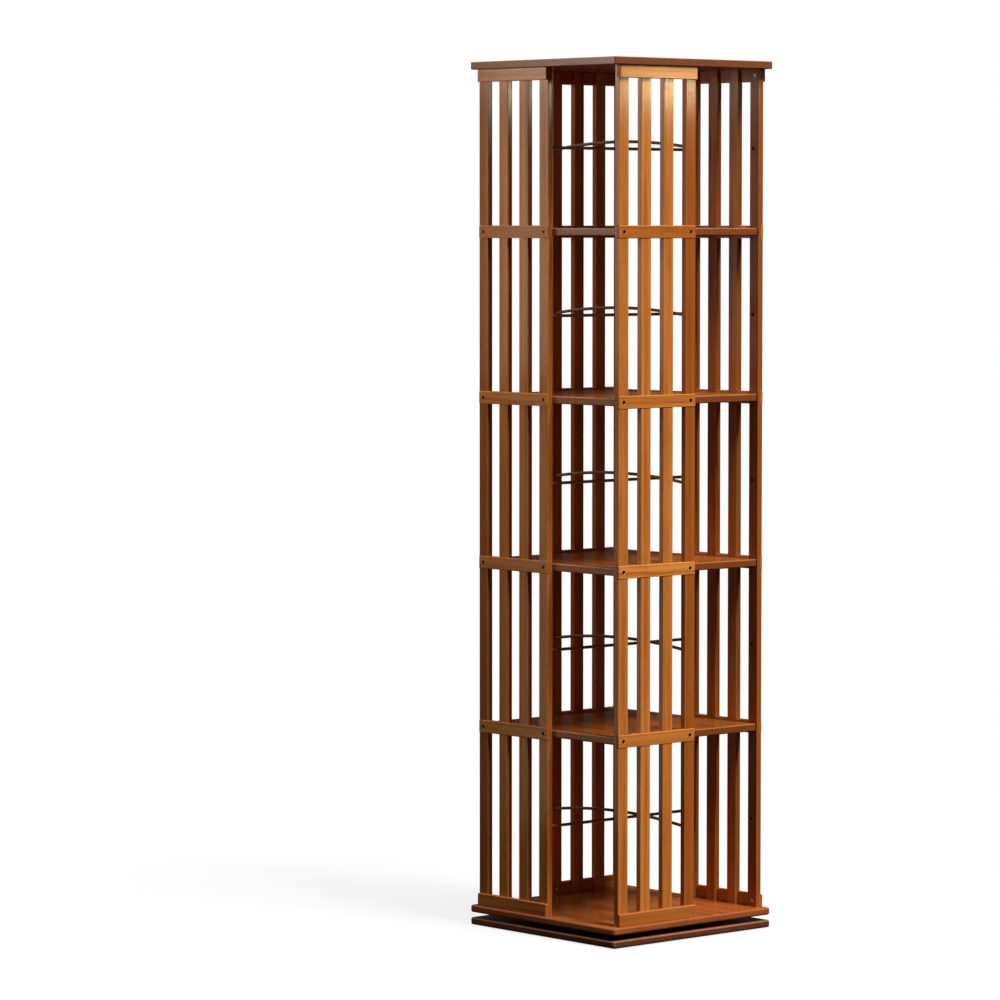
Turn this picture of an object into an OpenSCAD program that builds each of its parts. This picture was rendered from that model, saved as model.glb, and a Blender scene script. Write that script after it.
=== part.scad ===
// Revolving bookcase: a square slatted tower of open tiers that turns on a low base.
// Millimetres, +Z up, origin on the floor under the middle of the base.
// Four equal slatted panels stand pinwheel fashion round square shelves.
// Seen from outside, each face has its panel on the left and an open bay on the right.

/* [Boards] */
// Side of the square top board, bottom shelf and base board
board_side = 340; // [300:1:420]
// Thickness of every board and shelf
board_t = 12; // [10:0.5:18]
// Radius of the upright corners of the boards
corner_r = 4; // [1:0.5:8]
// Radius rolled onto the long edges of the base board and bottom shelf
low_edge_r = 3.5; // [1:0.5:4.5]
// Radius eased onto the long edges of the top board
top_edge_r = 1.5; // [0.5:0.5:4.5]
// Radius eased onto the long edges of the shelves
shelf_edge_r = 2; // [0.5:0.5:4]

/* [Tiers] */
// Number of tiers, one above the other
tier_count = 5; // [2:1:5]
// Clear height of the lowest tier
bottom_clear = 283; // [200:1:340]
// Clear height of each tier above the lowest
tier_clear = 251; // [180:1:300]

/* [Panels] */
// Number of slats in a panel
slat_count = 4; // [3:1:4]
// Width of a slat
slat_w = 20.5; // [16:0.5:26]
// Thickness of a slat
slat_t = 10; // [8:0.5:14]
// Radius eased onto the long edges of the slats and rails
slat_edge_r = 1; // [0.5:0.25:1.5]
// How far the boards stand out past the faces of the slats
overhang = 7; // [6:0.5:12]
// Distance from the edge of the boards to the first slat of a panel
panel_inset = 14.5; // [10:0.5:24]
// How far the last slat of a panel reaches past the middle of the face
centre_lap = 7.5; // [5:0.5:10]

/* [Rails] */
// Height of a rail
rail_h = 20; // [18:0.5:28]
// Depth of the notch in a slat that a rail lies in
lap_depth = 5; // [3.5:0.5:6]
// How far the rails at the shelves stand proud of the slats
rail_proud = 0.8; // [0:0.1:2]
// How far the top and bottom rails stand proud of the slats
end_rail_proud = 4; // [2:0.5:5.5]
// Play on each side of a lap joint
lap_play = 0.1; // [0.05:0.05:0.3]

/* [Back rods] */
// Diameter of the rods that cross each tier
rod_d = 5; // [4:0.5:8]
// Gap between the two rods of a tier where they cross
rod_cross_gap = 6; // [0.5:0.5:8]
// Depth of the blind sockets that hold the rods
socket_depth = 5; // [3:0.5:6]
// Play round a rod in its socket
rod_play = 0.5; // [0.3:0.05:0.8]

/* [Turntable] */
// Height of the gap between the base board and the bottom shelf
turntable_gap = 8; // [7:0.5:14]
// Diameter of the circle that the balls run on
ball_circle_d = 225; // [160:1:250]
// Diameter of a ball
ball_d = 4.8; // [3:0.1:5.2]
// Number of balls
ball_count = 36; // [12:1:60]
// Radial width of each bearing ring
ring_w = 14; // [10:0.5:18]
// Clearance between each ring and the board that it turns past
ring_clear = 1; // [0.5:0.1:1.2]
// Gap between the two rings
race_gap = 2; // [1.6:0.1:2.4]
// Thickness of the strip that keeps the balls apart
cage_t = 0.8; // [0.5:0.1:1]
// Clearance above and below that strip
cage_clear = 0.6; // [0.4:0.1:0.8]
// Running play between a ball and its groove
ball_play = 0.08; // [0.04:0.01:0.1]
// Play between a ball and its pocket
pocket_play = 0.15; // [0.1:0.05:0.25]
// Diameter of the hole in the base board that a screwdriver passes through
access_d = 16; // [10:1:24]

/* [Screws] */
// Diameter of a screw head
head_d = 6; // [5:0.5:8]
// Diameter of a screw shank
shank_d = 3; // [2.5:0.5:4]
// How far a rail screw bites into the edge of a shelf
rail_screw_bite = 25; // [15:1:40]
// How far a board screw bites into the top or bottom rail
board_screw_bite = 14; // [8:1:16]
// How far a short screw bites into the top or bottom rail from behind
back_screw_bite = 6; // [3:0.5:6]
// How far a bearing screw bites into its board
bearing_screw_bite = 7; // [4:0.5:8]
// Number of screws in each bearing ring
bearing_screw_count = 4; // [3:1:8]
// Play round a screw
screw_play = 0.1; // [0.05:0.05:0.2]
// How far a screw head is sunk below the face
head_sink = 0.3; // [0:0.1:0.6]

/* [Feet] */
// Thickness of the pads under the base board
foot_h = 1.5; // [1:0.5:4]
// Diameter of a pad
foot_d = 30; // [20:1:40]
// Distance from the edge of the base board to the middle of a pad
foot_inset = 28; // [22:1:50]

/* [Hidden] */
// Fineness of round shapes, and of the long flat bow of the upper rods
$fn = 48;
bow_fn = 1440;
// How far a cut runs past the face that it opens
over = 1;

// Names of the four faces, in the order in which the front panel is turned onto them
SIDES = ["front", "right", "back", "left"];
LAST_SIDE = len(SIDES) - 1;
QUARTER = 90;

// Stain and metal colours
slat_colour = "#9c5a2b";
rail_colour = "#a5602f";
shelf_colour = "#7d4523";
board_colour = "#6b3719";
rod_colour = "#2c1710";
dark_screw_colour = "#1d1815";
steel_colour = "#b9bcc0";
aluminium_colour = "#c9ccd0";
cage_colour = "#e4e2da";
pad_colour = "#3a332e";

// Distances from the turning axis
half_side = board_side / 2;
panel_face = half_side - overhang;
panel_back = panel_face - slat_t;
panel_start = half_side - panel_inset;
panel_w = panel_start + centre_lap;
slat_pitch = (panel_w - slat_w) / (slat_count - 1);
END_SLATS = [1, slat_count];

// Heights from the floor up
base_top = foot_h + board_t;
bottom_z = base_top + turntable_gap;
floor_z = bottom_z + board_t;
top_z = shelf_z(tier_count);

// Underside of the shelf over a tier; over the last tier lies the top board
function shelf_z(tier) = floor_z + bottom_clear + (tier - 1) * (board_t + tier_clear);
function shelf_mid(tier) = shelf_z(tier) + board_t / 2;
function tier_floor(tier) = tier == 1 ? floor_z : shelf_z(tier - 1) + board_t;
function tier_mid(tier) = (tier_floor(tier) + shelf_z(tier)) / 2;

// Middle of a slat along the front panel, counted from its left end
function slat_x(place) = -panel_start + slat_w / 2 + (place - 1) * slat_pitch;
// Middle of a rod socket in an end slat: on the last slat it lies on the middle of the face
function socket_x(place) = slat_x(place) - slat_x(slat_count);
// Middle of the opening beside an end slat, where the board screws go
function screw_gap_x(place) = slat_x(place) + (place == 1 ? slat_pitch : -slat_pitch) / 2;

// Screw lengths: what each passes through and what it bites into
head_h = (head_d - shank_d) / 2;
tip_h = shank_d;
rail_screw_l = rail_proud + slat_t + rail_screw_bite;
board_screw_l = board_t + board_screw_bite;
back_screw_l = slat_t - lap_depth + back_screw_bite;
bearing_screw_l = ring_h() + bearing_screw_bite;
end_rail_mid = panel_face + (end_rail_proud - lap_depth + lap_play) / 2;

// The upper rod of a tier bows over the lower one in one flat arc
rod_reach = panel_back + socket_depth - rod_play;
rod_bow = rod_d + rod_cross_gap;
bow_span = panel_back + socket_depth / 2;
bow_r = (bow_span * bow_span + rod_bow * rod_bow) / (2 * rod_bow);
bow_angle = asin((rod_reach - rod_play) / bow_r);

// Ball bearing between the base board and the bottom shelf
race_r = ball_circle_d / 2;
race_z = base_top + turntable_gap / 2;
groove_r = ball_d / 2 + ball_play;
outer_screw_r = race_r + (race_gap + ring_w) / 2;
inner_screw_r = race_r - (race_gap + ring_w) / 2;
cage_h = turntable_gap - 2 * cage_clear;
function ring_h() = turntable_gap - ring_clear;

function slat_name(side, place) = str(SIDES[side], "_slat_", place);
function rail_name(side, tier) = str(SIDES[side], "_rail_", tier);
function bottom_rail_name(side) = str(SIDES[side], "_bottom_rail");
function top_rail_name(side) = str(SIDES[side], "_top_rail");
function shelf_name(tier) = str("shelf_", tier);

// Box between two opposite corners
module block(low, high) {
    translate(low) cube(high - low);
}

// Rectangle about the origin with its corners rounded to radius r
module eased_rect(w, h, r) {
    square([w - 2 * r, h], center = true);
    square([w, h - 2 * r], center = true);
    for (x = [-1, 1])
        for (y = [-1, 1])
            translate([x * (w / 2 - r), y * (h / 2 - r)]) circle(r = r);
}

// Square board on its underside z, with rounded upright corners and rolled long edges
module square_board(side, z, upright_r, edge_r) {
    translate([0, 0, z + board_t / 2])
        intersection() {
            translate([0, 0, -board_t / 2]) linear_extrude(board_t) eased_rect(side, side, upright_r);
            rotate([90, 0, 0]) linear_extrude(side, center = true) eased_rect(side, board_t, edge_r);
            rotate([90, 0, 90]) linear_extrude(side, center = true) eased_rect(side, board_t, edge_r);
        }
}

// Turns what is drawn for the front face onto another face
module on_side(side) {
    rotate([0, 0, QUARTER * side]) children();
}

module on_every_side() {
    for (side = [0 : LAST_SIDE])
        on_side(side) children();
}

// Countersunk wood screw, head at the origin, pointing along +Z
module screw(length) {
    rotate_extrude()
        polygon([
            [0, head_sink],
            [head_d / 2 - head_sink, head_sink],
            [shank_d / 2, head_h],
            [shank_d / 2, length - tip_h],
            [0, length]
        ]);
}

// Hole that such a screw lies in, open at the origin's face
module screw_hole(length) {
    rotate_extrude()
        polygon([
            [0, -over],
            [head_d / 2 + screw_play, -over],
            [head_d / 2 + screw_play, screw_play],
            [shank_d / 2 + screw_play, head_h + screw_play],
            [shank_d / 2 + screw_play, length + screw_play],
            [0, length + screw_play]
        ]);
}

// Places of the screws on the front face; the children are a screw or its hole
module at_rail_screw(tier, place) {
    translate([slat_x(place), -panel_face - rail_proud, shelf_mid(tier)]) rotate([-90, 0, 0]) children();
}

module at_back_screw(z, place) {
    translate([slat_x(place), -panel_back, z]) rotate([90, 0, 0]) children();
}

module at_top_screw(place) {
    translate([screw_gap_x(place), -end_rail_mid, top_z + board_t]) rotate([180, 0, 0]) children();
}

module at_bottom_screw(place) {
    translate([screw_gap_x(place), -end_rail_mid, bottom_z]) children();
}

module at_bearing_screw(radius, z) {
    for (i = [0 : bearing_screw_count - 1])
        rotate([0, 0, (i + 0.5) * 360 / bearing_screw_count]) translate([radius, 0, z]) children();
}

module rail_screw_holes(tier) {
    for (place = END_SLATS)
        at_rail_screw(tier, place) screw_hole(rail_screw_l);
}

module back_screw_holes(z) {
    for (place = END_SLATS)
        at_back_screw(z, place) screw_hole(back_screw_l);
}

// Upright slat, notched on its face for every rail that crosses it
module slat(side, place) {
    left = slat_x(place) - slat_w / 2 - over;
    right = slat_x(place) + slat_w / 2 + over;
    front = -panel_face - over;
    notch = -panel_face + lap_depth;
    bottom_mid = floor_z + rail_h / 2;
    top_mid = top_z - rail_h / 2;
    color(slat_colour)
        on_side(side)
            difference() {
                translate([slat_x(place), -panel_face + slat_t / 2, floor_z])
                    linear_extrude(top_z - floor_z) eased_rect(slat_w, slat_t, slat_edge_r);
                for (tier = [1 : tier_count - 1])
                    block(
                        [left, front, shelf_mid(tier) - rail_h / 2 - lap_play],
                        [right, notch, shelf_mid(tier) + rail_h / 2 + lap_play]
                    );
                block([left, front, floor_z - over], [right, notch, floor_z + rail_h + lap_play]);
                block([left, front, top_z - rail_h - lap_play], [right, notch, top_z + over]);
                if (place == 1 || place == slat_count) {
                    for (tier = [1 : tier_count - 1])
                        at_rail_screw(tier, place) screw_hole(rail_screw_l);
                    at_back_screw(bottom_mid, place) screw_hole(back_screw_l);
                    at_back_screw(top_mid, place) screw_hole(back_screw_l);
                    for (tier = [1 : tier_count])
                        translate([socket_x(place), -panel_back + over, tier_mid(tier)])
                            rotate([90, 0, 0]) cylinder(d = rod_d + 2 * rod_play, h = socket_depth + over);
                }
            }
}

// Bar along the front panel between two distances from the axis and two heights
module rail_bar(near, far, low, high) {
    translate([-panel_start, -(near + far) / 2, (low + high) / 2])
        rotate([90, 0, 90]) linear_extrude(panel_w) eased_rect(far - near, high - low, slat_edge_r);
}

// Rail over the edge of a shelf, notched from behind to lap every slat
module rail(side, tier) {
    low = shelf_mid(tier) - rail_h / 2;
    high = shelf_mid(tier) + rail_h / 2;
    lap = slat_w / 2 + lap_play;
    color(rail_colour)
        on_side(side)
            difference() {
                rail_bar(panel_back, panel_face + rail_proud, low, high);
                for (place = [1 : slat_count])
                    block(
                        [slat_x(place) - lap, -panel_face + lap_depth - lap_play, low - over],
                        [slat_x(place) + lap, -panel_back + over, high + over]
                    );
                rail_screw_holes(tier);
            }
}

// Rail at the foot of a panel, screwed from behind and from under the bottom shelf
module bottom_rail(side) {
    color(rail_colour)
        on_side(side)
            difference() {
                end_rail_bar(floor_z);
                back_screw_holes(floor_z + rail_h / 2);
                for (place = END_SLATS)
                    at_bottom_screw(place) screw_hole(board_screw_l);
            }
}

// Rail at the head of a panel, screwed from behind and from over the top board
module top_rail(side) {
    color(rail_colour)
        on_side(side)
            difference() {
                end_rail_bar(top_z - rail_h);
                back_screw_holes(top_z - rail_h / 2);
                for (place = END_SLATS)
                    at_top_screw(place) screw_hole(board_screw_l);
            }
}

module end_rail_bar(low) {
    rail_bar(panel_face - lap_depth + lap_play, panel_face + end_rail_proud, low, low + rail_h);
}

// Shelf between the panels, over the tier that it covers
module shelf(tier) {
    color(shelf_colour)
        difference() {
            square_board(2 * panel_back, shelf_z(tier), shelf_edge_r, shelf_edge_r);
            on_every_side() rail_screw_holes(tier);
        }
}

module top_board() {
    color(board_colour)
        difference() {
            square_board(board_side, top_z, corner_r, top_edge_r);
            on_every_side()
                for (place = END_SLATS)
                    at_top_screw(place) screw_hole(board_screw_l);
        }
}

module bottom_shelf() {
    color(shelf_colour)
        difference() {
            square_board(board_side, bottom_z, corner_r, low_edge_r);
            on_every_side()
                for (place = END_SLATS)
                    at_bottom_screw(place) screw_hole(board_screw_l);
            at_bearing_screw(inner_screw_r, bottom_z - ring_h()) screw_hole(bearing_screw_l);
        }
}

module base_board() {
    color(board_colour)
        difference() {
            square_board(board_side, foot_h, corner_r, low_edge_r);
            at_bearing_screw(outer_screw_r, base_top + ring_h()) rotate([180, 0, 0]) screw_hole(bearing_screw_l);
            translate([inner_screw_r, 0, foot_h - over]) cylinder(d = access_d, h = board_t + 2 * over);
        }
}

module base_feet() {
    reach = half_side - foot_inset;
    color(pad_colour)
        for (x = [-1, 1])
            for (y = [-1, 1])
                translate([x * reach, y * reach, 0]) cylinder(d = foot_d, h = foot_h);
}

// Lower rods of the tiers, straight from the front panel to the back panel
module straight_rods() {
    color(rod_colour)
        for (tier = [1 : tier_count])
            translate([0, -rod_reach, tier_mid(tier)])
                rotate([-90, 0, 0]) cylinder(d = rod_d, h = 2 * rod_reach);
}

// Upper rods of the tiers, bowed over the lower ones from the left panel to the right panel
module bowed_rods() {
    color(rod_colour)
        for (tier = [1 : tier_count])
            translate([0, 0, tier_mid(tier) + rod_bow - bow_r])
                rotate([90, 0, 0])
                    rotate([0, 0, QUARTER - bow_angle])
                        rotate_extrude(angle = 2 * bow_angle, $fn = bow_fn)
                            translate([bow_r, 0]) circle(d = rod_d, $fn = $fn);
}

module rail_screws() {
    color(dark_screw_colour)
        on_every_side()
            for (tier = [1 : tier_count - 1])
                for (place = END_SLATS)
                    at_rail_screw(tier, place) screw(rail_screw_l);
}

module back_screws() {
    color(steel_colour)
        on_every_side()
            for (place = END_SLATS) {
                at_back_screw(floor_z + rail_h / 2, place) screw(back_screw_l);
                at_back_screw(top_z - rail_h / 2, place) screw(back_screw_l);
            }
}

module board_screws() {
    color(dark_screw_colour)
        on_every_side()
            for (place = END_SLATS) {
                at_top_screw(place) screw(board_screw_l);
                at_bottom_screw(place) screw(board_screw_l);
            }
}

// Section of a bearing ring: a bar with a groove for the balls in the side that faces the other ring
module ring_section(inner_r, low) {
    rotate_extrude($fn = 2 * $fn)
        difference() {
            translate([inner_r, low]) square([ring_w, ring_h()]);
            translate([race_r, race_z]) circle(r = groove_r);
        }
}

module bearing_outer_ring() {
    color(aluminium_colour)
        difference() {
            ring_section(race_r + race_gap / 2, base_top);
            at_bearing_screw(outer_screw_r, base_top + ring_h()) rotate([180, 0, 0]) screw_hole(bearing_screw_l);
        }
}

module bearing_inner_ring() {
    color(aluminium_colour)
        difference() {
            ring_section(race_r - race_gap / 2 - ring_w, bottom_z - ring_h());
            at_bearing_screw(inner_screw_r, bottom_z - ring_h()) screw_hole(bearing_screw_l);
        }
}

module bearing_base_screws() {
    color(steel_colour)
        at_bearing_screw(outer_screw_r, base_top + ring_h()) rotate([180, 0, 0]) screw(bearing_screw_l);
}

module bearing_shelf_screws() {
    color(steel_colour)
        at_bearing_screw(inner_screw_r, bottom_z - ring_h()) screw(bearing_screw_l);
}

module at_balls() {
    for (i = [0 : ball_count - 1])
        rotate([0, 0, i * 360 / ball_count]) translate([race_r, 0, race_z]) children();
}

module bearing_balls() {
    color(steel_colour)
        at_balls() sphere(d = ball_d);
}

// Strip that rides between the rings and keeps the balls apart
module bearing_cage() {
    color(cage_colour)
        difference() {
            rotate_extrude($fn = 2 * $fn)
                translate([race_r - cage_t / 2, race_z - cage_h / 2]) square([cage_t, cage_h]);
            at_balls()
                rotate([0, 90, 0]) cylinder(d = ball_d + 2 * pocket_play, h = race_gap, center = true);
        }
}

base_feet();
base_board();
bearing_outer_ring();
bearing_base_screws();
bearing_balls();
bearing_cage();
bearing_inner_ring();
bearing_shelf_screws();
bottom_shelf();
top_board();
straight_rods();
bowed_rods();
rail_screws();
back_screws();
board_screws();
for (tier = [1 : tier_count - 1])
    shelf(tier);
for (side = [0 : LAST_SIDE]) {
    for (place = [1 : slat_count])
        slat(side, place);
    for (tier = [1 : tier_count - 1])
        rail(side, tier);
    bottom_rail(side);
    top_rail(side);
}
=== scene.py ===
# %% [markdown]
# # A revolving bookcase in stained bamboo
#
# The real piece is a tower of five open tiers. Four slatted panels stand pinwheel fashion round square
# shelves, and the tower turns on a ball bearing over a low base board.
#
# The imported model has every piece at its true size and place. This lesson keeps it as a fixed frame and
# builds the finished pieces over it: eased edges, drilled holes, threaded screws, lacquered wood. Sizes
# are read from the frame where it shows them, so a finished piece always sits where its solid sits.

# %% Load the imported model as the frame
import math

import bmesh
import bpy
from mathutils import Matrix, Vector


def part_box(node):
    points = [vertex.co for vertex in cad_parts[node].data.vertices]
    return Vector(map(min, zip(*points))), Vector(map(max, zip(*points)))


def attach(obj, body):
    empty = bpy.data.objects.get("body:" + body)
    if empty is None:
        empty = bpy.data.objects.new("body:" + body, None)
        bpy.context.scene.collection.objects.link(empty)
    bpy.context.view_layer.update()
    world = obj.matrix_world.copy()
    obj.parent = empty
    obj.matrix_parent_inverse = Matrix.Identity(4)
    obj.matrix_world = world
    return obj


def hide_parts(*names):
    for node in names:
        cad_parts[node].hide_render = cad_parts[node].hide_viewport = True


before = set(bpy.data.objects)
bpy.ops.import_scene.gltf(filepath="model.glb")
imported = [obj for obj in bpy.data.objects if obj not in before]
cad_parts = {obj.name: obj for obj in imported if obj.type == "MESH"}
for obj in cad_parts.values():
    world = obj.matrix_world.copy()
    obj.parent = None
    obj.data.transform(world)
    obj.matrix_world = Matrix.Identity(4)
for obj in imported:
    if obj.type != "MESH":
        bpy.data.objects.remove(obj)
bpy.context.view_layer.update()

MM = 0.001


def in_mm(*lengths):
    """Lengths in millimetres, for printing."""
    return [round(length / MM, 1) for length in lengths]


# %% [markdown]
# ## The camera and the plain room
#
# The picture was taken with a long lens from about seven metres, a little under the top board, with one
# corner of the tower turned towards the lens. A long lens keeps the uprights almost parallel. Tipping the
# camera down by three degrees makes them lean together very slightly, just as they do in the picture.

# %% Place the camera
CAMERA_PLACE = Vector((5.2884, -4.9185, 1.118))
CAMERA_TURN = math.radians(48.60)
CAMERA_TIP = math.radians(3.433)
LENS_MM = 163.4
SENSOR_MM = 36.0


def into_scene(name, data):
    """A new object in the scene with that mesh, lamp or camera."""
    thing = bpy.data.objects.new(name, data)
    bpy.context.scene.collection.objects.link(thing)
    return thing


camera = into_scene("camera", bpy.data.cameras.new("camera"))
camera.data.lens = LENS_MM
camera.data.sensor_width = SENSOR_MM
camera.location = CAMERA_PLACE
camera.rotation_euler = (math.pi / 2 - CAMERA_TIP, 0.0, CAMERA_TURN)
bpy.context.scene.camera = camera
bpy.context.scene.view_settings.view_transform = "Standard"
print("camera:", round(CAMERA_PLACE.xy.length, 2), "m from the turning axis")

# %% [markdown]
# Every node tree below is wired with the same helpers. The first adds a node, sets its own properties, and
# either links or fills its inputs. The other two hand back a result: a node's first output, or a step of
# arithmetic.


# %% Helpers for wiring nodes
def add_node(tree, kind, inputs=None, **properties):
    """One node: properties are set on it, and each input is linked to a socket or filled with a value."""
    node = tree.nodes.new(kind)
    for name, value in properties.items():
        setattr(node, name, value)
    for key, value in (inputs or {}).items():
        if isinstance(value, bpy.types.NodeSocket):
            tree.links.new(value, node.inputs[key])
        else:
            node.inputs[key].default_value = value
    return node


def wire(tree, kind, inputs=None, **properties):
    """The first output of a node that is added in the same way."""
    return add_node(tree, kind, inputs, **properties).outputs[0]


def calc(tree, operation, first, second=0.0):
    """The result of one Math node."""
    return wire(tree, "ShaderNodeMath", {0: first, 1: second}, operation=operation)


# %% [markdown]
# The background is white paper. The world shows plain white to the lens and in reflections, and gives the
# wood only a low, even light from all round. The floor glows white for the lens in the same way, but less
# so near the object, where it takes its last bit of brightness from the lamps and so keeps a soft shadow.
# It throws no light back up. More lamp light would whiten the paper too, but it would bleach the wood. The
# floor lies a hair under the pads, and from below it is clear, so that the underside can be seen.


# %% White world
def seen_directly(tree):
    """1 for rays from the lens and their reflections and refractions, 0 for rays that only light things."""
    path = add_node(tree, "ShaderNodeLightPath")
    shiny = calc(tree, "MAXIMUM", path.outputs["Is Glossy Ray"], path.outputs["Is Transmission Ray"])
    return calc(tree, "MAXIMUM", path.outputs["Is Camera Ray"], shiny)


WHITE = (1, 1, 1, 1)
ROOM_TINT = (1.0, 0.97, 0.93, 1)
ROOM_LIGHT = 0.04
world = bpy.data.worlds.new("white_room")
world.use_nodes = True
bpy.context.scene.world = world
sky = world.node_tree
sky.nodes.clear()
room = wire(sky, "ShaderNodeBackground", {"Color": ROOM_TINT, "Strength": ROOM_LIGHT})
paper = wire(sky, "ShaderNodeBackground", {"Color": WHITE, "Strength": 1.0})
mixed = wire(sky, "ShaderNodeMixShader", {0: seen_directly(sky), 1: room, 2: paper})
add_node(sky, "ShaderNodeOutputWorld", {"Surface": mixed})
print("room light:", ROOM_LIGHT)

# %% The floor's paper
SHADOW_REACH = (0.35, 1.3)
NEAR_GLOW = 0.84
FLOOR_GREY = 0.12


def new_finish(name):
    """A new material and its node tree."""
    material = bpy.data.materials.new(name)
    material.use_nodes = True
    return material, material.node_tree


def pale_floor():
    """Paper that takes the object's shadow nearby and melts into the white world further out."""
    material, tree = new_finish("pale_floor")
    tree.nodes.clear()
    place = add_node(tree, "ShaderNodeTexCoord").outputs["Object"]
    away = add_node(tree, "ShaderNodeVectorMath", {0: place}, operation="LENGTH").outputs["Value"]
    far = {"Value": away, "From Min": SHADOW_REACH[0], "From Max": SHADOW_REACH[1]}
    glow = wire(tree, "ShaderNodeMapRange", {**far, "To Min": NEAR_GLOW, "To Max": 1.0})
    grey = wire(tree, "ShaderNodeMapRange", {**far, "To Min": FLOOR_GREY, "To Max": 0.0})
    seen = seen_directly(tree)
    white = wire(tree, "ShaderNodeEmission", {"Color": WHITE, "Strength": calc(tree, "MULTIPLY", glow, seen)})
    matt = wire(tree, "ShaderNodeBsdfDiffuse", {"Color": calc(tree, "MULTIPLY", grey, seen)})
    lit = wire(tree, "ShaderNodeAddShader", {0: white, 1: matt})
    clear = wire(tree, "ShaderNodeBsdfTransparent")
    below = add_node(tree, "ShaderNodeNewGeometry").outputs["Backfacing"]
    sheet = wire(tree, "ShaderNodeMixShader", {0: below, 1: lit, 2: clear})
    add_node(tree, "ShaderNodeOutputMaterial", {"Surface": sheet})
    return material


# %% Laying the floor
FLOOR_RADIUS = 3.0
FLOOR_CORNERS = 96
FLOOR_DROP = 0.2 * MM


def with_disc(shape, radius, height):
    """The shape with a flat round sheet added at a height."""
    bmesh.ops.create_circle(shape, cap_ends=True, segments=FLOOR_CORNERS, radius=radius,
                            matrix=Matrix.Translation((0, 0, height)))
    return shape


def room_piece(name, shape, material):
    """A part of the room rather than of the object."""
    mesh = bpy.data.meshes.new(name)
    shape.to_mesh(mesh)
    shape.free()
    mesh.materials.append(material)
    return into_scene(name, mesh)


floor = room_piece("floor", with_disc(bmesh.new(), FLOOR_RADIUS, -FLOOR_DROP), pale_floor())
print("floor: a disc of", FLOOR_RADIUS, "m radius")

# %% [markdown]
# ## The lamps
#
# The main light is large and far off, high on the right: it falls evenly from head to foot, and so steeply
# that the top board and the shelves leave the tiers in shade. The front face turns away from it. One soft
# box hangs before that face, and its light dies away towards the floor, which turns the wood a deep brown
# below. Two weak ones stand to the left of it, a white one high up and a reddish one low down. A large one
# behind serves the two faces that the lens doesn't see.
#
# The lacquer mirrors the left-hand boxes as a pale sheen. Two cards are there for nothing else: a wide one
# between those boxes, and a thin yellowish one out to the right, which the right face mirrors just under
# the top. The box behind does the opposite: it lights, but isn't mirrored, or the shelves would glare.


# %% Soft boxes
def soft_box(name, place, aim, size, watts, colour=(1, 1, 1), lights=True, mirrored=True):
    """A soft lamp that the lens doesn't see; one that doesn't light is only mirrored, like a card."""
    lamp = into_scene(name, bpy.data.lights.new(name, "AREA"))
    lamp.data.shape = "RECTANGLE"
    lamp.data.size, lamp.data.size_y = size
    lamp.data.energy = watts
    lamp.data.color = colour
    lamp.location = place
    lamp.rotation_euler = (Vector(aim) - Vector(place)).to_track_quat("-Z", "Y").to_euler()
    lamp.visible_camera = False
    lamp.visible_diffuse = lights
    lamp.visible_glossy = mirrored


YELLOWISH = (1.0, 0.95, 0.66)
REDDISH = (1.0, 0.84, 0.70)
soft_box("key_box", (10.9, 0.72, 17.4), (0.0, 0.0, 0.6), (6.0, 6.0), 7700)
soft_box("right_card", (0.955, 0.702, 1.37), (0.16, 0.0, 1.34), (0.16, 0.045), 0.54, YELLOWISH, lights=False)
soft_box("high_left_box", (-0.74, -0.98, 1.49), (-0.04, -0.16, 1.45), (0.46, 0.26), 1.40)
soft_box("left_card", (-0.72, -1.00, 1.10), (-0.04, -0.16, 1.12), (0.46, 0.50), 1.05, lights=False)
soft_box("low_left_box", (-0.70, -0.93, 0.42), (0.0, -0.16, 0.47), (0.30, 0.74), 0.62, REDDISH)
soft_box("near_front_box", (-0.30, -0.95, 1.26), (-0.08, -0.16, 1.05), (0.5, 0.5), 2.45)
soft_box("back_box", (-3.4, 3.1, 1.0), (0.0, 0.0, 0.8), (1.6, 1.6), 120, mirrored=False)
print("lamps:", len(bpy.data.lights))

# %% [markdown]
# Glossy dark wood mirrors whatever stands round it, and in a white room that turns it grey. A photographer
# puts up black flags. Here a dark curtain runs all round, below the height of the main light, and the same
# cloth covers the floor. Only reflections see it: the lens looks through it, and it neither stops the light
# nor throws a shadow.

# %% Dark curtain for the reflections
CURTAIN_RADIUS = 2.4
CURTAIN_HEIGHT = 1.9
CURTAIN_TINT = (1, 0.9, 0.8, 1)
CURTAIN_GREY = 0.03
CLOTH_LIFT = 1 * MM

hanging = bmesh.new()
bmesh.ops.create_cone(hanging, cap_ends=False, segments=FLOOR_CORNERS, radius1=CURTAIN_RADIUS,
                      radius2=CURTAIN_RADIUS, depth=CURTAIN_HEIGHT,
                      matrix=Matrix.Translation((0, 0, CLOTH_LIFT + CURTAIN_HEIGHT / 2)))
cloth, cloth_tree = new_finish("dark_curtain")
cloth_tree.nodes.clear()
dim = wire(cloth_tree, "ShaderNodeEmission", {"Color": CURTAIN_TINT, "Strength": CURTAIN_GREY})
add_node(cloth_tree, "ShaderNodeOutputMaterial", {"Surface": dim})
curtain = room_piece("curtain", with_disc(hanging, CURTAIN_RADIUS, CLOTH_LIFT), cloth)
for ray in ("camera", "diffuse", "shadow", "transmission"):
    setattr(curtain, "visible_" + ray, False)
print("curtain:", CURTAIN_HEIGHT, "m high,", CURTAIN_RADIUS, "m from the axis")

# %% [markdown]
# ## Measuring the frame
#
# A panel is drawn once, on the front face, and turned onto the other three. So the front pieces give all
# the sizes: a slat's section and spacing, a rail's height, the step from tier to tier. What the frame's
# boxes can't show, such as the depth of a lap or the size of a screw, is written down once, where it is
# first needed.

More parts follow.
